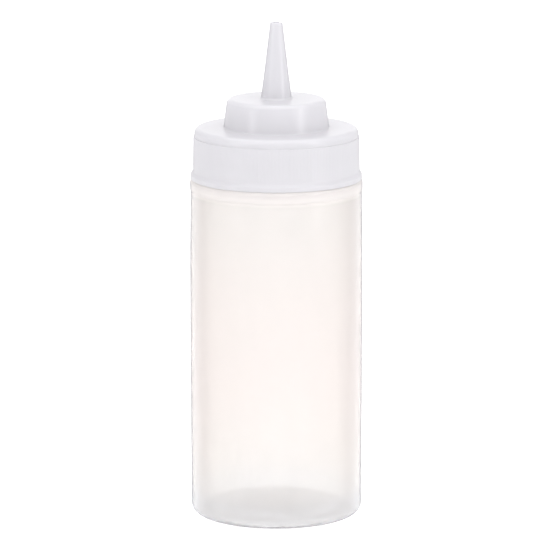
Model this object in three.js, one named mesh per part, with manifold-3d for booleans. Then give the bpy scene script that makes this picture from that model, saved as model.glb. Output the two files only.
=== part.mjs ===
// A squeeze bottle of soft, translucent polyethylene: a straight bottle with a wide threaded neck, a sealing
// washer, and a one-piece screw cap that carries a cone tip. Millimetres, +Z up. The origin is the middle of
// the standing ring, on the surface that the bottle stands on, and every piece is drawn where it sits when
// the cap is screwed down.
import * as THREE from "three";
import { mergeVertices } from "three/addons/utils/BufferGeometryUtils.js";
import Module from "manifold-3d";

const wasm = await Module();
wasm.setup();

// How finely round shapes are cut into flat faces
const FACES_AROUND = 48;
const ROUND_STEP = Math.PI / 6; // most turn between two neighbouring faces of a rounded edge
const GAP = 0.3; // left between faces that press on each other in the real bottle

// Bottle: a thin blown wall that is slightly barrelled
const BODY_RADIUS = 34.85;
const FOOT_RADIUS = 34.5; // of the wall where it meets the heel
const WALL_TOP_RADIUS = 34.6; // of the wall just under the bead
const WALL = 1.2;
const HEEL_ROUND = 4;
const STANDING_RING_WIDTH = 2;
const PUSH_UP = 2.6; // height of the middle of the base above the table
const PUSH_UP_SLOPE = 2; // width of the slope between the standing ring and the raised base
const BEAD_RADIUS = 34.8;
const BEAD_HEIGHT = 3.4;
const SHOULDER_TOP = 137.3;
const NECK_RADIUS = 30;
const NECK_WALL = 1.8;
const NECK_HEIGHT = 18;
const RIM_TOP = SHOULDER_TOP + NECK_HEIGHT;

// Screw thread: right-handed, six threads to the inch
const PITCH = 25.4 / 6;
const THREAD_TURNS = 1.5;
const NECK_THREAD_DEPTH = 1.3;
const CAP_THREAD_DEPTH = 1.6;
const THREAD_ROOT_WIDTH = 2;
const THREAD_CREST_WIDTH = 0.9;
const THREAD_SINK = 0.4; // how deep a ridge is rooted in its wall
const THREAD_RUN_OUT = 0.06; // share of a ridge's length over which each end fades into the wall
const THREAD_TOP = RIM_TOP - 2.65; // where the neck's ridge ends

// Sealing washer, between the rim and the underside of the cap
const WASHER_THICKNESS = 1;
const WASHER_INNER_RADIUS = 28.4;
const WASHER_OUTER_RADIUS = 31.6;

// Cap: skirt, flat top, raised tier and cone tip in one moulding
const CAP_WALL = 1.6;
const CAP_UNDERSIDE = RIM_TOP + WASHER_THICKNESS + 2 * GAP;
const CAP_TOP = CAP_UNDERSIDE + CAP_WALL;
const CAP_BOTTOM = SHOULDER_TOP + 0.4;
const SKIRT_RADIUS = 33.6;
const SKIRT_WALL = 1.4;
const SKIRT_DRAFT = 0.2; // how much smaller the skirt is at its top
const LIP_RADIUS = 34.5;
const LIP_HEIGHT = 2;
const LIP_FLARE = 1.3; // height of the flare from the skirt out to the lip
const TOP_BAND_RADIUS = 33;
const TOP_BAND_HEIGHT = 3.6;
const TIER_FOOT_RADIUS = 21.2;
const TIER_RIM_RADIUS = 19.8;
const TIER_TOP = CAP_TOP + 11.75;

// Cone tip
const TIP_TOP = 201;
const TIP_RADIUS = 2.45;
const CONE_FOOT_RADIUS = 6.2;
const CONE_STEP_HEIGHT = 7.5; // the faint step in the cone, above the tier
const CONE_STEP = 0.1;
const ORIFICE_RADIUS = 1.2;
const BORE_FOOT_RADIUS = 4.7;

// One corner of an outline: distance from the axis, height, and the radius that rounds it off.
function corner(radius, height, round = 0) {
  return { at: new THREE.Vector2(radius, height), round };
}

// The points of one corner: itself, or an arc that touches both of its sides.
function roundedCorner(before, here, after) {
  if (!here.round) return [here.at];
  const toBefore = before.at.clone().sub(here.at).normalize();
  const toAfter = after.at.clone().sub(here.at).normalize();
  const halfAngle = Math.acos(toBefore.dot(toAfter)) / 2;
  const middle = toBefore.clone().add(toAfter).setLength(here.round / Math.sin(halfAngle)).add(here.at);
  const start = toBefore.multiplyScalar(here.round / Math.tan(halfAngle)).add(here.at).sub(middle);
  const end = toAfter.multiplyScalar(here.round / Math.tan(halfAngle)).add(here.at).sub(middle);
  const turn = Math.atan2(start.cross(end), start.dot(end));
  const steps = Math.max(2, Math.ceil(Math.abs(turn) / ROUND_STEP));
  const origin = new THREE.Vector2();
  return Array.from({ length: steps + 1 }, (_, i) =>
    start.clone().rotateAround(origin, (turn * i) / steps).add(middle),
  );
}

// A solid of revolution about Z. The corners run up the outside and down the inside.
function turned(corners) {
  const last = corners.length - 1;
  const onAxis = corners[0].at.x === 0;
  const points = corners.flatMap((here, i) =>
    roundedCorner(corners[i === 0 ? last : i - 1], here, corners[i === last ? 0 : i + 1]),
  );
  if (!onAxis) points.push(points[0].clone());
  return new THREE.LatheGeometry(points, FACES_AROUND).rotateX(Math.PI / 2);
}

// A thread ridge: a straight bar along Z, with its section's X up the axis and its Y outwards, wound into a
// helix. It is rooted in the wall at rootRadius, and its crest is at crestRadius.
function threadRidge(rootRadius, crestRadius, startHeight) {
  const sunkRadius = rootRadius - Math.sign(crestRadius - rootRadius) * THREAD_SINK;
  const section = new THREE.Shape([
    new THREE.Vector2(-THREAD_ROOT_WIDTH / 2, sunkRadius),
    new THREE.Vector2(THREAD_ROOT_WIDTH / 2, sunkRadius),
    new THREE.Vector2(THREAD_CREST_WIDTH / 2, crestRadius),
    new THREE.Vector2(-THREAD_CREST_WIDTH / 2, crestRadius),
  ]);
  const steps = Math.round(FACES_AROUND * THREAD_TURNS);
  const ridge = new THREE.ExtrudeGeometry(section, { depth: 1, steps, bevelEnabled: false });
  const position = ridge.getAttribute("position");
  for (let i = 0; i < position.count; i++) {
    const along = position.getZ(i);
    const angle = along * THREAD_TURNS * 2 * Math.PI;
    const height = THREE.MathUtils.clamp(Math.min(along, 1 - along) / THREAD_RUN_OUT, 0.1, 1);
    const radius = THREE.MathUtils.lerp(sunkRadius, position.getY(i), height);
    const rise = startHeight + position.getX(i) + along * THREAD_TURNS * PITCH;
    position.setXYZ(i, radius * Math.cos(angle), radius * Math.sin(angle), rise);
  }
  return ridge;
}

// three.js geometry to a manifold-3d solid, and back
function toSolid(geometry) {
  geometry.deleteAttribute("normal");
  geometry.deleteAttribute("uv");
  const merged = mergeVertices(geometry, 1e-3);
  return new wasm.Manifold(
    new wasm.Mesh({
      numProp: 3,
      vertProperties: merged.getAttribute("position").array,
      triVerts: new Uint32Array(merged.index.array),
    }),
  );
}

function toGeometry(solid) {
  const mesh = solid.getMesh();
  const geometry = new THREE.BufferGeometry();
  geometry.setAttribute("position", new THREE.BufferAttribute(mesh.vertProperties, 3));
  geometry.setIndex(new THREE.BufferAttribute(mesh.triVerts, 1));
  const flat = geometry.toNonIndexed();
  flat.computeVertexNormals();
  return flat;
}

function join(first, second) {
  return toGeometry(toSolid(first).add(toSolid(second)));
}

// Outside up from the pushed-up base to the rim, then inside down to the floor
function bottleGeometry() {
  const ringOuter = FOOT_RADIUS - HEEL_ROUND;
  const ringInner = ringOuter - STANDING_RING_WIDTH;
  const raisedRadius = ringInner - PUSH_UP_SLOPE;
  const beadTop = SHOULDER_TOP - 1;
  const beadBottom = beadTop - BEAD_HEIGHT;
  const neckInner = NECK_RADIUS - NECK_WALL;
  const barrelLow = 0.45 * SHOULDER_TOP;
  const barrelHigh = 0.75 * SHOULDER_TOP;
  const shell = turned([
    corner(0, PUSH_UP),
    corner(raisedRadius, PUSH_UP - 0.4, 1.2),
    corner(ringInner, 0, 0.5),
    corner(FOOT_RADIUS, 0, HEEL_ROUND),
    corner(BODY_RADIUS, barrelLow),
    corner(BODY_RADIUS, barrelHigh),
    corner(WALL_TOP_RADIUS, beadBottom - 0.4),
    corner(BEAD_RADIUS, beadBottom + 0.4),
    corner(BEAD_RADIUS, beadTop, 1.2),
    corner(BEAD_RADIUS - 0.7, SHOULDER_TOP, 0.4),
    corner(NECK_RADIUS, SHOULDER_TOP, 0.6),
    corner(NECK_RADIUS, RIM_TOP, 0.6),
    corner(neckInner, RIM_TOP, 0.4),
    corner(neckInner, SHOULDER_TOP - NECK_WALL, 1.2),
    corner(WALL_TOP_RADIUS - WALL, beadTop - WALL, 1.6),
    corner(BODY_RADIUS - WALL, barrelHigh),
    corner(BODY_RADIUS - WALL, barrelLow),
    corner(FOOT_RADIUS - WALL, WALL, HEEL_ROUND - WALL),
    corner(ringInner + 0.6, WALL, 0.8),
    corner(raisedRadius + 0.4, PUSH_UP - 0.4 + WALL, 0.6),
    corner(0, PUSH_UP + WALL),
  ]);
  const threadStart = THREAD_TOP - THREAD_TURNS * PITCH;
  return join(shell, threadRidge(NECK_RADIUS, NECK_RADIUS + NECK_THREAD_DEPTH, threadStart));
}

function washerGeometry() {
  const bottom = RIM_TOP + GAP;
  return turned([
    corner(WASHER_OUTER_RADIUS, bottom),
    corner(WASHER_OUTER_RADIUS, bottom + WASHER_THICKNESS),
    corner(WASHER_INNER_RADIUS, bottom + WASHER_THICKNESS),
    corner(WASHER_INNER_RADIUS, bottom),
  ]);
}

// Outside up from the lip to the mouth of the tip, then down the bore and the inside of the skirt
function capGeometry() {
  const skirtInner = SKIRT_RADIUS - SKIRT_WALL;
  const bandBottom = CAP_TOP - TOP_BAND_HEIGHT;
  const stepHeight = TIER_TOP + CONE_STEP_HEIGHT;
  const stepShare = CONE_STEP_HEIGHT / (TIP_TOP - TIER_TOP);
  const stepRadius = THREE.MathUtils.lerp(CONE_FOOT_RADIUS, TIP_RADIUS, stepShare);
  const shell = turned([
    corner(LIP_RADIUS, CAP_BOTTOM, 0.3),
    corner(LIP_RADIUS, CAP_BOTTOM + LIP_HEIGHT, 0.8),
    corner(SKIRT_RADIUS, CAP_BOTTOM + LIP_HEIGHT + LIP_FLARE, 1.2),
    corner(SKIRT_RADIUS - SKIRT_DRAFT, bandBottom),
    corner(TOP_BAND_RADIUS, bandBottom),
    corner(TOP_BAND_RADIUS, CAP_TOP, 2.2),
    corner(TIER_FOOT_RADIUS, CAP_TOP, 0.8),
    corner(TIER_RIM_RADIUS, TIER_TOP, 2.2),
    corner(CONE_FOOT_RADIUS, TIER_TOP, 1.2),
    corner(stepRadius, stepHeight - 0.2),
    corner(stepRadius - CONE_STEP, stepHeight + 0.2),
    corner(TIP_RADIUS, TIP_TOP, 0.5),
    corner(ORIFICE_RADIUS, TIP_TOP),
    corner(BORE_FOOT_RADIUS, TIER_TOP - CAP_WALL, 0.8),
    corner(TIER_RIM_RADIUS - CAP_WALL, TIER_TOP - CAP_WALL, 1),
    corner(TIER_FOOT_RADIUS - CAP_WALL, CAP_UNDERSIDE, 0.6),
    corner(skirtInner, CAP_UNDERSIDE, 0.6),
    corner(skirtInner, CAP_BOTTOM),
  ]);
  // Screwed down, the cap's ridge hangs half a pitch under the neck's.
  const threadStart = THREAD_TOP - THREAD_TURNS * PITCH - PITCH / 2;
  return join(shell, threadRidge(skirtInner, skirtInner - CAP_THREAD_DEPTH, threadStart));
}

const naturalPolyethylene = new THREE.MeshStandardMaterial({
  color: 0xf5f0ee,
  roughness: 0.38,
  metalness: 0,
  transparent: true,
  opacity: 0.55,
});
const mouldedPolyethylene = new THREE.MeshStandardMaterial({
  color: 0xe8e7ec,
  roughness: 0.34,
  metalness: 0,
  transparent: true,
  opacity: 0.85,
});
const whiteFoam = new THREE.MeshStandardMaterial({ color: 0xf2f2f0, roughness: 0.7, metalness: 0 });

function piece(name, geometry, material) {
  const mesh = new THREE.Mesh(geometry, material);
  mesh.name = name;
  return mesh;
}

const squeezeBottle = new THREE.Group();
squeezeBottle.add(
  piece("bottle", bottleGeometry(), naturalPolyethylene),
  piece("sealing_washer", washerGeometry(), whiteFoam),
  piece("cone_cap", capGeometry(), mouldedPolyethylene),
);

export default squeezeBottle;
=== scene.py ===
import math

import bpy
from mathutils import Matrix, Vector


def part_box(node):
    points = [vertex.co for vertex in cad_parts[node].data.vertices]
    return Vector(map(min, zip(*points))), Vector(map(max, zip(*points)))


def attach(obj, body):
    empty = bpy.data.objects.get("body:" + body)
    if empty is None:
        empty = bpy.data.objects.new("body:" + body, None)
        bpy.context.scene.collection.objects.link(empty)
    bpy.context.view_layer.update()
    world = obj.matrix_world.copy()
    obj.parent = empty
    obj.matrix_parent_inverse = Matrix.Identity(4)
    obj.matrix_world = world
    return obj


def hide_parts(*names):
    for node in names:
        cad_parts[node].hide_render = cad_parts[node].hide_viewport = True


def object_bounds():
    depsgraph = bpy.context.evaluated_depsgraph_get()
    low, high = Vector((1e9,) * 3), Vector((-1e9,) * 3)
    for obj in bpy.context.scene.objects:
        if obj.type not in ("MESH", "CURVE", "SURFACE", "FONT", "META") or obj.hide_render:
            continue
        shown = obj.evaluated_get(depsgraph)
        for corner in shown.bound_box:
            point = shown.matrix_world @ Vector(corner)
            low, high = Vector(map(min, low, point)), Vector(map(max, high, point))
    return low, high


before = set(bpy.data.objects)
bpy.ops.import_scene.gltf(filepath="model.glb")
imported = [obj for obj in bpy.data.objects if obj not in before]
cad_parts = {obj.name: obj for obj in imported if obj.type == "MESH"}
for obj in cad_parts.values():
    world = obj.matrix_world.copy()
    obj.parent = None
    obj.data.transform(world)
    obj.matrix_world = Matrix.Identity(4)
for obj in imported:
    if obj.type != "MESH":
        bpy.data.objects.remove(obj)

MM = 0.001
cad_low, cad_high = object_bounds()

# How finely round shapes are cut into faces
ROUND_STEP = math.radians(9)  # most turn between two rows of a rounded edge
FACES_AROUND = 256
RIB_COUNT = 144
FACES_PER_RIB = 6
ROW_STEP = 0.25  # between the rows of a wall that carries a thread
SHARP_EDGE = math.radians(40)  # edges that turn more than this aren't smoothed over
ON_AXIS = 1e-6  # points of an outline nearer the axis than this are on it
SAME_WALL = 0.01  # points whose radii differ by less than this are on the same wall


# ---------------------------------------------------------------- sizes, from the frame where it has them

def top(node):
    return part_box(node)[1].z / MM


def bottom(node):
    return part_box(node)[0].z / MM


def widest(node):
    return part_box(node)[1].x / MM


WASHER_GAP = 0.3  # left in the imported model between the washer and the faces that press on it

# Bottle
BODY_RADIUS = widest("bottle")
FOOT_RADIUS = BODY_RADIUS - 0.35  # of the wall where it meets the heel
WALL_TOP_RADIUS = BODY_RADIUS - 0.25  # of the wall just under the bead
BEAD_RADIUS = BODY_RADIUS - 0.05
BEAD_HEIGHT = 3.4
BEAD_TOP_DROP = 1  # from the shoulder down to the bead's full radius
BEAD_TOP_INSET = 0.7
BEAD_STEP_HALF = 0.4  # half the height over which the wall steps out to the bead
RIM_TOP = top("bottle")
SHOULDER_TOP = RIM_TOP - 17.7  # just under the cap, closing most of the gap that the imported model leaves
BARREL_LOW, BARREL_HIGH = 0.45 * SHOULDER_TOP, 0.75 * SHOULDER_TOP  # between them the body is widest
WALL = 1.2
HEEL_ROUND = 4
STANDING_RING_WIDTH = 2
PUSH_UP = 2.6  # height of the middle of the base above the table
PUSH_UP_SLOPE = 2  # width of the slope between the standing ring and the raised base
BASE_CROWN = 0.4  # how much higher the middle of the raised base is than its edge
NECK_RADIUS = 30
NECK_WALL = 1.8
RIM_BAND = 1  # plain band under the rim, above the rows that carry the thread

# Screw thread, right-handed
PITCH = 25.4 / 6
THREAD_TURNS = 1.5
THREAD_ROOT_WIDTH = 2.0
THREAD_CREST_WIDTH = 0.9
THREAD_RUN_OUT = 0.06  # share of a ridge's length over which each end fades into the wall
NECK_THREAD_DEPTH = 1.3
CAP_THREAD_DEPTH = 1.6
THREAD_TOP = RIM_TOP - 2.65  # of the middle of the neck's ridge, where it ends
THREAD_START = THREAD_TOP - THREAD_TURNS * PITCH

# Washer
WASHER_WIDTH = 3.2
WASHER_EDGE = 0.15

# Cap
CAP_BOTTOM = bottom("cone_cap")
CAP_WALL = 1.6
CAP_UNDERSIDE = top("sealing_washer") + WASHER_GAP
CAP_TOP = CAP_UNDERSIDE + CAP_WALL
LIP_RADIUS = widest("cone_cap")
LIP_HEIGHT = 2
LIP_FLARE = 1.3  # height of the flare from the skirt out to the lip
SKIRT_RADIUS = LIP_RADIUS - 0.9
SKIRT_WALL = 1.4
SKIRT_DRAFT = 0.2  # how much smaller the skirt's radius is at its top
RIB_DEPTH = 0.06
RIB_FADE = 0.8  # height over which the grooves between the ribs fade out at each end
TOP_BAND_RADIUS = LIP_RADIUS - 1.5
TOP_BAND_HEIGHT = 3.6
TIER_FOOT_RADIUS = 21.2
TIER_RIM_RADIUS = 19.8
TIER_TOP = CAP_TOP + 11.75

# Cone tip
TIP_TOP = top("cone_cap")
TIP_RADIUS = 2.45
CONE_FOOT_RADIUS = 6.2
CONE_STEP_HEIGHT = 7.5  # the faint step in the cone, above the tier
CONE_STEP = 0.1
CONE_STEP_HALF = 0.2  # half the height over which the cone steps in
ORIFICE_RADIUS = 1.2
BORE_FOOT_RADIUS = 4.7


# ---------------------------------------------------------------- turned shapes

def corner(radius, height, round_off=0.0):
    """One corner of an outline: distance from the axis, height, and the radius that rounds it off."""
    return Vector((radius, height)), round_off


def wall_rows(radius, low, high):
    """Corners close together up a straight wall, so that a thread can stand out of it."""
    count = round(abs(high - low) / ROW_STEP)
    return [corner(radius, low + (high - low) * i / count) for i in range(count + 1)]


def rounded_corner(before, here, after, radius):
    """The corner itself, or an arc that touches both of its sides."""
    if not radius:
        return [here]
    to_before = (before - here).normalized()
    to_after = (after - here).normalized()
    half_angle = to_before.angle(to_after) / 2
    middle = here + (to_before + to_after).normalized() * radius / math.sin(half_angle)
    start = here + to_before * radius / math.tan(half_angle) - middle
    end = here + to_after * radius / math.tan(half_angle) - middle
    turn = math.atan2(start.x * end.y - start.y * end.x, start.dot(end))
    steps = max(2, math.ceil(abs(turn) / ROUND_STEP))
    points = []
    for i in range(steps + 1):
        angle = turn * i / steps
        across = Vector((-start.y, start.x))
        points.append(middle + start * math.cos(angle) + across * math.sin(angle))
    return points


def outline(corners):
    points = []
    for i, (here, radius) in enumerate(corners):
        before = corners[i - 1][0]
        after = corners[(i + 1) % len(corners)][0]
        points += rounded_corner(before, here, after, radius)
    return points


def even_angles(count):
    return [2 * math.pi * i / count for i in range(count)]


def turned(name, corners, angles, relief=None):
    """A closed mesh turned about Z. relief(radius, height, angle) moves a point outwards, in millimetres."""
    points = outline(corners)
    verts, rings = [], []
    for p in points:
        if p.x < ON_AXIS:
            verts.append((0, 0, p.y * MM))
            rings.append([len(verts) - 1] * len(angles))
            continue
        ring = []
        for angle in angles:
            radius = p.x + (relief(p.x, p.y, angle) if relief else 0)
            verts.append((radius * math.cos(angle) * MM, radius * math.sin(angle) * MM, p.y * MM))
            ring.append(len(verts) - 1)
        rings.append(ring)
    if points[0].x > ON_AXIS:
        rings.append(rings[0])
    faces = []
    for low, high in zip(rings, rings[1:]):
        for i in range(len(angles)):
            j = (i + 1) % len(angles)
            quad = (low[i], low[j], high[j], high[i])
            faces.append(tuple(dict.fromkeys(quad)))
    mesh = bpy.data.meshes.new(name)
    mesh.from_pydata(verts, [], faces)
    mesh.shade_smooth()
    mesh.set_sharp_from_angle(angle=SHARP_EDGE)
    piece = bpy.data.objects.new(name, mesh)
    bpy.context.scene.collection.objects.link(piece)
    return piece


def smooth(value):
    """value held between 0 and 1, with a soft start and end."""
    value = max(0.0, min(1.0, value))
    return value * value * (3 - 2 * value)


def thread_height(height, angle, start, depth):
    """How far a thread ridge stands out of its wall at a height and an angle."""
    most = 0.0
    for turn in range(math.ceil(THREAD_TURNS)):
        turns = angle / (2 * math.pi) + turn
        along = turns / THREAD_TURNS
        if along > 1:
            continue
        off_centre = abs(height - start - turns * PITCH)
        flank = (THREAD_ROOT_WIDTH / 2 - off_centre) / ((THREAD_ROOT_WIDTH - THREAD_CREST_WIDTH) / 2)
        run_out = min(along, 1 - along) / THREAD_RUN_OUT
        most = max(most, depth * smooth(flank) * smooth(run_out))
    return most


# ---------------------------------------------------------------- pieces

def make_bottle():
    ring_outer = FOOT_RADIUS - HEEL_ROUND
    ring_inner = ring_outer - STANDING_RING_WIDTH
    raised_radius = ring_inner - PUSH_UP_SLOPE
    bead_top = SHOULDER_TOP - BEAD_TOP_DROP
    bead_bottom = bead_top - BEAD_HEIGHT
    neck_inner = NECK_RADIUS - NECK_WALL
    thread_low = THREAD_START - THREAD_ROOT_WIDTH
    thread_high = RIM_TOP - RIM_BAND

    def relief(radius, height, angle):
        if abs(radius - NECK_RADIUS) > SAME_WALL or not thread_low <= height <= thread_high:
            return 0
        return thread_height(height, angle, THREAD_START, NECK_THREAD_DEPTH)

    corners = [
        corner(0, PUSH_UP),
        corner(raised_radius, PUSH_UP - BASE_CROWN, 1.2),
        corner(ring_inner, 0, 0.5),
        corner(FOOT_RADIUS, 0, HEEL_ROUND),
        corner(BODY_RADIUS, BARREL_LOW),
        corner(BODY_RADIUS, BARREL_HIGH),
        corner(WALL_TOP_RADIUS, bead_bottom - BEAD_STEP_HALF, 0.6),
        corner(BEAD_RADIUS, bead_bottom + BEAD_STEP_HALF, 0.6),
        corner(BEAD_RADIUS, bead_top, 1.2),
        corner(BEAD_RADIUS - BEAD_TOP_INSET, SHOULDER_TOP, 0.4),
        corner(NECK_RADIUS, SHOULDER_TOP, 0.6),
        *wall_rows(NECK_RADIUS, thread_low, thread_high),
        corner(NECK_RADIUS, RIM_TOP, 0.6),
        corner(neck_inner, RIM_TOP, 0.4),
        corner(neck_inner, SHOULDER_TOP - NECK_WALL, 1.2),
        corner(WALL_TOP_RADIUS - WALL, bead_top - WALL, 1.6),
        corner(BODY_RADIUS - WALL, BARREL_HIGH),
        corner(BODY_RADIUS - WALL, BARREL_LOW),
        corner(FOOT_RADIUS - WALL, WALL, HEEL_ROUND - WALL),
        corner(ring_inner + 0.6, WALL, 0.8),
        corner(raised_radius + 0.4, PUSH_UP - BASE_CROWN + WALL, 0.6),
        corner(0, PUSH_UP + WALL),
    ]
    return turned("bottle_shell", corners, even_angles(FACES_AROUND), relief)


def make_washer():
    bottom_face, top_face = bottom("sealing_washer"), top("sealing_washer")
    outer = widest("sealing_washer")
    inner = outer - WASHER_WIDTH
    corners = [
        corner(outer, bottom_face, WASHER_EDGE),
        corner(outer, top_face, WASHER_EDGE),
        corner(inner, top_face, WASHER_EDGE),
        corner(inner, bottom_face, WASHER_EDGE),
    ]
    return turned("washer_ring", corners, even_angles(FACES_AROUND))


def make_cap():
    skirt_inner = SKIRT_RADIUS - SKIRT_WALL
    skirt_top_radius = SKIRT_RADIUS - SKIRT_DRAFT
    flare_top = CAP_BOTTOM + LIP_HEIGHT + LIP_FLARE
    band_bottom = CAP_TOP - TOP_BAND_HEIGHT
    thread_start = THREAD_START - PITCH / 2
    thread_low = thread_start - THREAD_ROOT_WIDTH
    thread_high = thread_start + THREAD_TURNS * PITCH + THREAD_ROOT_WIDTH
    step_height = TIER_TOP + CONE_STEP_HEIGHT
    cone_slope = (TIP_RADIUS - CONE_FOOT_RADIUS) / (TIP_TOP - TIER_TOP)
    step_radius = CONE_FOOT_RADIUS + cone_slope * CONE_STEP_HEIGHT

    def relief(radius, height, angle):
        if abs(radius - skirt_inner) < SAME_WALL and thread_low <= height <= thread_high:
            return -thread_height(height, angle, thread_start, CAP_THREAD_DEPTH)
        if radius < skirt_top_radius - SAME_WALL:
            return 0
        above = (height - flare_top) / RIB_FADE
        below = (band_bottom - height) / RIB_FADE
        groove = 0.5 - 0.5 * math.cos(RIB_COUNT * angle)
        return -RIB_DEPTH * groove * smooth(above) * smooth(below)

    corners = [
        corner(skirt_inner, CAP_BOTTOM, 0.25),
        corner(LIP_RADIUS, CAP_BOTTOM, 0.35),
        corner(LIP_RADIUS, CAP_BOTTOM + LIP_HEIGHT, 0.8),
        corner(SKIRT_RADIUS, flare_top, 1.2),
        corner(SKIRT_RADIUS, flare_top + RIB_FADE),
        corner(skirt_top_radius, band_bottom - RIB_FADE),
        corner(skirt_top_radius, band_bottom - RIB_FADE / 2),
        corner(skirt_top_radius, band_bottom, 0.12),
        corner(TOP_BAND_RADIUS, band_bottom, 0.1),
        corner(TOP_BAND_RADIUS, CAP_TOP, 2.2),
        corner(TIER_FOOT_RADIUS, CAP_TOP, 0.8),
        corner(TIER_RIM_RADIUS, TIER_TOP, 2.2),
        corner(CONE_FOOT_RADIUS, TIER_TOP, 1.2),
        corner(step_radius, step_height - CONE_STEP_HALF, 0.3),
        corner(step_radius - CONE_STEP, step_height + CONE_STEP_HALF, 0.3),
        corner(TIP_RADIUS, TIP_TOP, 0.5),
        corner(ORIFICE_RADIUS, TIP_TOP, 0.15),
        corner(BORE_FOOT_RADIUS, TIER_TOP - CAP_WALL, 0.8),
        corner(TIER_RIM_RADIUS - CAP_WALL, TIER_TOP - CAP_WALL, 1),
        corner(TIER_FOOT_RADIUS - CAP_WALL, CAP_UNDERSIDE, 0.6),
        corner(skirt_inner, CAP_UNDERSIDE, 0.6),
        *wall_rows(skirt_inner, thread_high, thread_low),
    ]
    return turned("cap_shell", corners, even_angles(RIB_COUNT * FACES_PER_RIB), relief)


# ---------------------------------------------------------------- materials

PLASTIC_IOR = 1.51
PLASTIC_SHINE = 0.6
CLEAR_ROUGHNESS = 0.1

BODY_DARK, BODY_LIGHT = (0.98, 0.955, 0.945), (0.99, 0.965, 0.955)
BODY_PASSES = 0.5  # share of the scattered light that goes on through the wall
BODY_CLEAR = 0.65  # share of light that isn't scattered, in the wall and then in the thicker bead
BEAD_CLEAR = 0.25
BEAD_FADE_LOW, BEAD_FADE_HIGH = SHOULDER_TOP - 6.3, SHOULDER_TOP - 2.8
# Painted shade on the tint of the clear share, by the angle of view from face on (0) to along the wall (1):
# greyer towards the sides and lighter again near the outline
BODY_PAINTED_SHADE_STOPS = (
    (0.0, (1.0, 1.0, 1.0)),
    (0.3, (0.98, 0.975, 0.97)),
    (0.5, (0.855, 0.84, 0.835)),
    (0.6, (0.885, 0.875, 0.875)),
    (0.7, (0.97, 0.97, 0.98)),
)
# The tint of the wall from the table (0) up to BODY_TINT_TOP (1)
BODY_TINT_TOP = 130
BODY_TINT_STOPS = (
    (0.06, (0.97, 0.985, 1.0)),
    (0.1, (1.0, 1.0, 0.995)),
    (0.22, (1.0, 0.99, 0.98)),
    (0.43, (0.995, 0.975, 0.967)),
    (0.73, (0.99, 0.975, 0.967)),
    (0.95, (0.98, 0.975, 0.968)),
)
BODY_ROUGHNESS = 0.35
SEAM_NEAR, SEAM_FAR = 0.1, 0.5  # the parting line fades out between these distances from its middle
# Painted shade: a thin dark line just inside the bottle's outline, which follows the angle of view
BODY_OUTLINE_SHADE_COLOUR = (0.45, 0.47, 0.54)
BODY_OUTLINE_SHADE_REACH = 0.8
BODY_OUTLINE_SHADE_SHARE = 0.45
UNDER_OUTLINE_SHADE = 0.55  # how strong the painted outline shade is along an edge that faces down, as a share of an upright wall's
# Stretches of a normal's Z over which the painted outline shade changes as the surface turns up, or turns
# under
LOOKING_UP = (0.3, 0.7)
LOOKING_DOWN = (-0.6, -0.2)
ROUND_THE_EDGE = (-0.5, -0.1)

CAP_DARK, CAP_LIGHT = (0.735, 0.727, 0.755), (0.755, 0.747, 0.775)
CAP_ROUGHNESS = 0.28
CAP_PASSES = 0.36
CAP_CLEAR = 0.03
CAP_CLEAR_ROUGHNESS = 0.12
# Painted shade: a thin dark line just inside the cap's outline, which follows the angle of view
CAP_OUTLINE_SHADE_COLOUR = (0.35, 0.35, 0.4)
CAP_OUTLINE_SHADE_REACH = 0.6
CAP_OUTLINE_SHADE_SHARE = 0.17

FOAM_DARK, FOAM_LIGHT = (0.86, 0.86, 0.84), (0.93, 0.93, 0.92)
FOAM_CELLS = 2500  # to a metre
FOAM_ROUGHNESS = 0.75
FOAM_PASSES = 0.1


def new_material(name):
    material = bpy.data.materials.new(name)
    material.use_nodes = True
    nodes = material.node_tree.nodes
    nodes.clear()
    return material, nodes, material.node_tree.links


def noise(nodes, links, scale, detail, stretch=(1, 1, 1)):
    """Noise in the piece's own space, drawn out along an axis where stretch is under 1."""
    place = nodes.new("ShaderNodeTexCoord")
    mapping = nodes.new("ShaderNodeMapping")
    mapping.inputs["Scale"].default_value = stretch
    texture = nodes.new("ShaderNodeTexNoise")
    texture.inputs["Scale"].default_value = scale
    texture.inputs["Detail"].default_value = detail
    links.new(place.outputs["Object"], mapping.inputs["Vector"])
    links.new(mapping.outputs["Vector"], texture.inputs["Vector"])
    return texture.outputs["Fac"]


def split_place(nodes, links, space):
    """The X, Y and Z of a point in the piece's own space ("Object"), or of its normal ("Normal")."""
    place = nodes.new("ShaderNodeTexCoord")
    split = nodes.new("ShaderNodeSeparateXYZ")
    links.new(place.outputs[space], split.inputs["Vector"])
    return split.outputs


def remap(nodes, links, value, from_low, from_high, to_low, to_high, soft=True):
    """value from one range to another, with soft ends."""
    node = nodes.new("ShaderNodeMapRange")
    node.interpolation_type = "SMOOTHSTEP" if soft else "LINEAR"
    node.inputs["From Min"].default_value = from_low
    node.inputs["From Max"].default_value = from_high
    node.inputs["To Min"].default_value = to_low
    node.inputs["To Max"].default_value = to_high
    links.new(value, node.inputs["Value"])
    return node.outputs["Result"]


def maths(nodes, links, operation, first, second=0.0):
    node = nodes.new("ShaderNodeMath")
    node.operation = operation
    for socket, value in zip(node.inputs, (first, second)):
        if isinstance(value, (int, float)):
            socket.default_value = value
        else:
            links.new(value, socket)
    return node.outputs["Value"]


def from_axis(nodes, links):
    """Distance from the Z axis."""
    place = split_place(nodes, links, "Object")
    x_squared = maths(nodes, links, "POWER", maths(nodes, links, "ABSOLUTE", place["X"]), 2)
    y_squared = maths(nodes, links, "POWER", maths(nodes, links, "ABSOLUTE", place["Y"]), 2)
    return maths(nodes, links, "SQRT", maths(nodes, links, "ADD", x_squared, y_squared))


def tinted(nodes, links, value, dark, light):
    node = nodes.new("ShaderNodeMix")
    node.data_type = "RGBA"
    node.inputs["A"].default_value = (*dark, 1)
    node.inputs["B"].default_value = (*light, 1)
    links.new(value, node.inputs["Factor"])
    return node.outputs["Result"]


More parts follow.
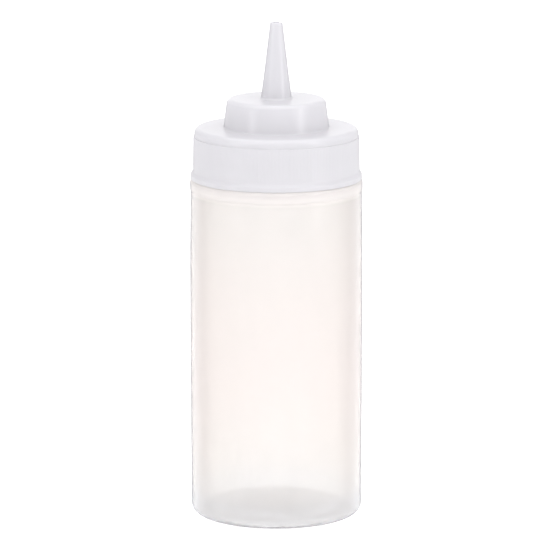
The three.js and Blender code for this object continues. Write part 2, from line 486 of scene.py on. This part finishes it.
def multiplied(nodes, links, first, second):
    node = nodes.new("ShaderNodeMix")
    node.data_type = "RGBA"
    node.blend_type = "MULTIPLY"
    node.inputs["Factor"].default_value = 1
    links.new(first, node.inputs["A"])
    links.new(second, node.inputs["B"])
    return node.outputs["Result"]


def ramp(nodes, links, value, stops):
    """A colour that follows value through the given (value, colour) stops."""
    node = nodes.new("ShaderNodeValToRGB")
    elements = node.color_ramp.elements
    while len(elements) < len(stops):
        elements.new(1)
    for element, (position, colour) in zip(elements, stops):
        element.position = position
        element.color = (*colour, 1)
    links.new(value, node.inputs["Fac"])
    return node.outputs["Color"]


def bumped(nodes, links, height, distance, strength=1.0, on_top_of=None):
    """A normal roughened by height, whose full range is distance millimetres."""
    node = nodes.new("ShaderNodeBump")
    node.inputs["Strength"].default_value = strength
    node.inputs["Distance"].default_value = distance * MM
    links.new(height, node.inputs["Height"])
    if on_top_of is not None:
        links.new(on_top_of, node.inputs["Normal"])
    return node.outputs["Normal"]


def mixed(nodes, links, share, first, second):
    node = nodes.new("ShaderNodeMixShader")
    if isinstance(share, (int, float)):
        node.inputs["Fac"].default_value = share
    else:
        links.new(share, node.inputs["Fac"])
    links.new(first, node.inputs[1])
    links.new(second, node.inputs[2])
    return node.outputs["Shader"]


def translucent(nodes, colour):
    node = nodes.new("ShaderNodeBsdfTranslucent")
    node.inputs["Color"].default_value = (*colour, 1)
    return node


def cloudy_plastic(nodes, links, colour, normal, roughness, passes_light):
    """Light is scattered: part of it back from the surface and part on through the wall."""
    shine = nodes.new("ShaderNodeBsdfPrincipled")
    shine.inputs["Roughness"].default_value = roughness
    shine.inputs["IOR"].default_value = PLASTIC_IOR
    shine.inputs["Specular IOR Level"].default_value = PLASTIC_SHINE
    through = translucent(nodes, (1, 1, 1))
    links.new(colour, shine.inputs["Base Color"])
    links.new(colour, through.inputs["Color"])
    links.new(normal, shine.inputs["Normal"])
    links.new(normal, through.inputs["Normal"])
    return mixed(nodes, links, passes_light, shine.outputs["BSDF"], through.outputs["BSDF"])


def clear_plastic(nodes, links, colour, normal, roughness):
    glass = nodes.new("ShaderNodeBsdfGlass")
    glass.inputs["IOR"].default_value = PLASTIC_IOR
    glass.inputs["Roughness"].default_value = roughness
    links.new(colour, glass.inputs["Color"])
    links.new(normal, glass.inputs["Normal"])
    return glass.outputs["BSDF"]


def slant_of_view(nodes):
    """0 where the wall is seen face on, 1 where the view runs along it."""
    weight = nodes.new("ShaderNodeLayerWeight")
    weight.inputs["Blend"].default_value = 0.5
    return weight.outputs["Facing"]


def with_painted_outline_shade(nodes, links, surface, slant, colour, reach, share, under=1.0):
    """
    The surface with a painted shade: a thin dark line just inside its outline, where the view runs through
    more plastic.
    It follows the angle of view, so it belongs to no fixed place on the surface. The shade is full
    for reach / 2 millimetres and has gone at reach. Faces that look up have none, and under is the radius
    of the edge under the wall as a share of the wall's own.
    """
    up = split_place(nodes, links, "Normal")["Z"]
    upright = remap(nodes, links, up, *LOOKING_UP, 1, 0)
    facing_down = remap(nodes, links, up, *LOOKING_DOWN, UNDER_OUTLINE_SHADE, 1)
    share_of_radius = remap(nodes, links, up, *ROUND_THE_EDGE, under, 1)
    curve = maths(nodes, links, "MULTIPLY", from_axis(nodes, links), share_of_radius)
    faced = maths(nodes, links, "SUBTRACT", 1, slant)
    inside = maths(nodes, links, "MULTIPLY", maths(nodes, links, "MULTIPLY", faced, faced), curve)
    shade = remap(nodes, links, inside, reach * MM, 2 * reach * MM, share, 0)
    shade = maths(nodes, links, "MULTIPLY", shade, upright)
    shade = maths(nodes, links, "MULTIPLY", shade, facing_down)
    return mixed(nodes, links, shade, surface, translucent(nodes, colour).outputs["BSDF"])


def finish_material(material, nodes, links, surface):
    out = nodes.new("ShaderNodeOutputMaterial")
    links.new(surface, out.inputs["Surface"])
    return material


def bottle_plastic():
    """
    Blown polyethylene: clear face on, with a painted shade by the angle of view that greys it towards its
    sides and a painted dark line along its outline, with streaks drawn up the bottle, a fine grain, a gentle
    waviness, and the mould's parting line at its two sides.
    """
    material, nodes, links = new_material("bottle_polyethylene")
    place = split_place(nodes, links, "Object")
    from_seam = maths(nodes, links, "ABSOLUTE", place["Y"])
    seam = remap(nodes, links, from_seam, SEAM_NEAR * MM, SEAM_FAR * MM, 1, 0)
    grain = noise(nodes, links, scale=1500, detail=2)
    waviness = noise(nodes, links, scale=45, detail=2)
    streaks = noise(nodes, links, scale=90, detail=3, stretch=(1, 1, 0.12))
    normal = bumped(nodes, links, grain, distance=0.02, strength=0.3)
    normal = bumped(nodes, links, waviness, distance=0.6, strength=0.25, on_top_of=normal)
    normal = bumped(nodes, links, seam, distance=0.08, on_top_of=normal)
    colour = tinted(nodes, links, streaks, BODY_DARK, BODY_LIGHT)
    cloudy = cloudy_plastic(nodes, links, colour, normal, BODY_ROUGHNESS, BODY_PASSES)
    slant = slant_of_view(nodes)
    height = remap(nodes, links, place["Z"], 0, BODY_TINT_TOP * MM, 0, 1, soft=False)
    tint = ramp(nodes, links, height, BODY_TINT_STOPS)
    # Painted shade: the clear share greys towards the sides and lightens again near the outline, by the
    # angle of view
    painted_view_shade = multiplied(nodes, links, ramp(nodes, links, slant, BODY_PAINTED_SHADE_STOPS), tint)
    clear = clear_plastic(nodes, links, painted_view_shade, normal, CLEAR_ROUGHNESS)
    low, high = BEAD_FADE_LOW * MM, BEAD_FADE_HIGH * MM
    clearness = remap(nodes, links, place["Z"], low, high, BODY_CLEAR, BEAD_CLEAR)
    surface = mixed(nodes, links, clearness, cloudy, clear)
    heel = HEEL_ROUND / FOOT_RADIUS
    # Painted shade along the bottle's outline
    surface = with_painted_outline_shade(nodes, links, surface, slant, BODY_OUTLINE_SHADE_COLOUR, BODY_OUTLINE_SHADE_REACH, BODY_OUTLINE_SHADE_SHARE, heel)
    return finish_material(material, nodes, links, surface)


def cap_plastic():
    """Moulded polyethylene: thicker and so cloudier than the bottle, with a faint mottle and ripple."""
    material, nodes, links = new_material("cap_polyethylene")
    grain = noise(nodes, links, scale=1200, detail=3)
    ripple = noise(nodes, links, scale=120, detail=2)
    mottle = noise(nodes, links, scale=70, detail=3)
    normal = bumped(nodes, links, grain, distance=0.02, strength=0.4)
    normal = bumped(nodes, links, ripple, distance=0.3, strength=0.15, on_top_of=normal)
    colour = tinted(nodes, links, mottle, CAP_DARK, CAP_LIGHT)
    cloudy = cloudy_plastic(nodes, links, colour, normal, CAP_ROUGHNESS, CAP_PASSES)
    clear = clear_plastic(nodes, links, colour, normal, CAP_CLEAR_ROUGHNESS)
    surface = mixed(nodes, links, CAP_CLEAR, cloudy, clear)
    slant = slant_of_view(nodes)
    # Painted shade along the cap's outline
    surface = with_painted_outline_shade(nodes, links, surface, slant, CAP_OUTLINE_SHADE_COLOUR, CAP_OUTLINE_SHADE_REACH, CAP_OUTLINE_SHADE_SHARE)
    return finish_material(material, nodes, links, surface)


def washer_foam():
    """Foamed polyethylene with small closed cells."""
    material, nodes, links = new_material("washer_foam")
    place = nodes.new("ShaderNodeTexCoord")
    cells = nodes.new("ShaderNodeTexVoronoi")
    cells.inputs["Scale"].default_value = FOAM_CELLS
    links.new(place.outputs["Object"], cells.inputs["Vector"])
    mottle = noise(nodes, links, scale=400, detail=3)
    normal = bumped(nodes, links, cells.outputs["Distance"], distance=0.08, strength=0.6)
    colour = tinted(nodes, links, mottle, FOAM_DARK, FOAM_LIGHT)
    surface = cloudy_plastic(nodes, links, colour, normal, FOAM_ROUGHNESS, FOAM_PASSES)
    return finish_material(material, nodes, links, surface)


# ---------------------------------------------------------------- stage, light and camera

FLOOR_HALF = 12  # metres
FLOOR_DROP = 0.05  # millimetres under the standing ring, so that the two faces don't coincide
FLOOR_GREY = 0.5
FLOOR_ROUGHNESS = 0.9
FLOOR_GLOW = 0.68
GLOW_ROUND_BOTTLE = 0.76  # a painted pool of brighter light round the bottle, which fades to FLOOR_GLOW between the two distances below, in metres
GLOW_FADE = (0.1, 0.4)
SHADE_START, SHADE_END = 4, 32  # millimetres from the axis: a painted shadow under the bottle, dark at the first and full brightness at the second

SKY = 0.88
BOUNCES = 32  # a hollow translucent wall needs many
SIDE_BOX = (0.3, 1.2)  # width and height of the lamps at the two sides, in metres

CAMERA_ELEVATION = math.radians(11.2)
CAMERA_DISTANCE = 1.9  # metres
CAMERA_AIM = Vector((0, 0, 0.09785))  # metres
CAMERA_LENS = 307.4
CAMERA_SHIFT = -0.00245  # moves the picture sideways, as a share of its width


def make_floor():
    """A pale floor that glows like a light table, with a painted shadow under the bottle and a painted pool
    of brighter light round it.
    """
    h = FLOOR_HALF
    mesh = bpy.data.meshes.new("floor")
    mesh.from_pydata([(-h, -h, 0), (h, -h, 0), (h, h, 0), (-h, h, 0)], [], [(0, 1, 2, 3)])
    floor = bpy.data.objects.new("floor", mesh)
    floor.location.z = -FLOOR_DROP * MM
    bpy.context.scene.collection.objects.link(floor)
    material, nodes, links = new_material("pale_floor")
    distance = from_axis(nodes, links)
    # Painted shadow under the bottle, rising to a painted pool of brighter light round it
    glow = remap(nodes, links, distance, SHADE_START * MM, SHADE_END * MM, 0, GLOW_ROUND_BOTTLE)
    past_painted_pool = remap(nodes, links, distance, *GLOW_FADE, 0, GLOW_ROUND_BOTTLE - FLOOR_GLOW)
    paint = nodes.new("ShaderNodeBsdfPrincipled")
    paint.inputs["Base Color"].default_value = (FLOOR_GREY, FLOOR_GREY, FLOOR_GREY, 1)
    paint.inputs["Roughness"].default_value = FLOOR_ROUGHNESS
    paint.inputs["Emission Color"].default_value = (1, 1, 1, 1)
    links.new(maths(nodes, links, "SUBTRACT", glow, past_painted_pool), paint.inputs["Emission Strength"])
    finish_material(material, nodes, links, paint.outputs["BSDF"])
    mesh.materials.append(material)


def put_facing(object_, place, aim):
    """Puts a lamp or camera into the scene at place, looking at aim."""
    object_.location = place
    object_.rotation_euler = (Vector(aim) - Vector(place)).to_track_quat("-Z", "Y").to_euler()
    bpy.context.scene.collection.objects.link(object_)


def make_softbox(name, place, size, power, aim):
    lamp = bpy.data.lights.new(name, "AREA")
    lamp.shape = "RECTANGLE"
    lamp.size, lamp.size_y = size
    lamp.energy = power
    put_facing(bpy.data.objects.new(name, lamp), place, aim)


def make_light():
    world = bpy.data.worlds.new("studio")
    world.use_nodes = True
    sky = world.node_tree.nodes["Background"]
    sky.inputs["Color"].default_value = (1, 1, 1, 1)
    sky.inputs["Strength"].default_value = SKY
    bpy.context.scene.world = world
    middle = (cad_low + cad_high) / 2
    cap_height = Vector((0, 0, CAP_TOP * MM))
    make_softbox("overhead", place=(0, -0.3, 1.8), size=(3, 3), power=35, aim=middle)
    make_softbox("back_box", place=(0, 1.6, 0.5), size=(1.2, 0.6), power=1.8, aim=cap_height)
    make_softbox("left_box", place=(-1.2, -0.8, 0.3), size=SIDE_BOX, power=4.2, aim=middle)
    make_softbox("right_box", place=(1.2, -0.8, 0.3), size=SIDE_BOX, power=6.2, aim=middle)


def make_camera():
    camera = bpy.data.objects.new("camera", bpy.data.cameras.new("camera"))
    camera.data.lens = CAMERA_LENS
    camera.data.shift_x = CAMERA_SHIFT
    back = Vector((0, -math.cos(CAMERA_ELEVATION), math.sin(CAMERA_ELEVATION)))
    put_facing(camera, CAMERA_AIM + back * CAMERA_DISTANCE, CAMERA_AIM)
    bpy.context.scene.camera = camera


def set_up_scene():
    scene = bpy.context.scene
    scene.view_settings.view_transform = "Standard"
    scene.cycles.max_bounces = BOUNCES
    scene.cycles.diffuse_bounces = BOUNCES
    scene.cycles.glossy_bounces = BOUNCES
    scene.cycles.transmission_bounces = BOUNCES
    scene.cycles.transparent_max_bounces = BOUNCES


def add_piece(piece, body, node, material):
    piece.data.materials.append(material)
    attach(piece, body)
    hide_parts(node)


set_up_scene()
make_camera()
make_light()
make_floor()
add_piece(make_bottle(), "bottle", "bottle", bottle_plastic())
add_piece(make_washer(), "washer", "sealing_washer", washer_foam())
add_piece(make_cap(), "cap", "cone_cap", cap_plastic())
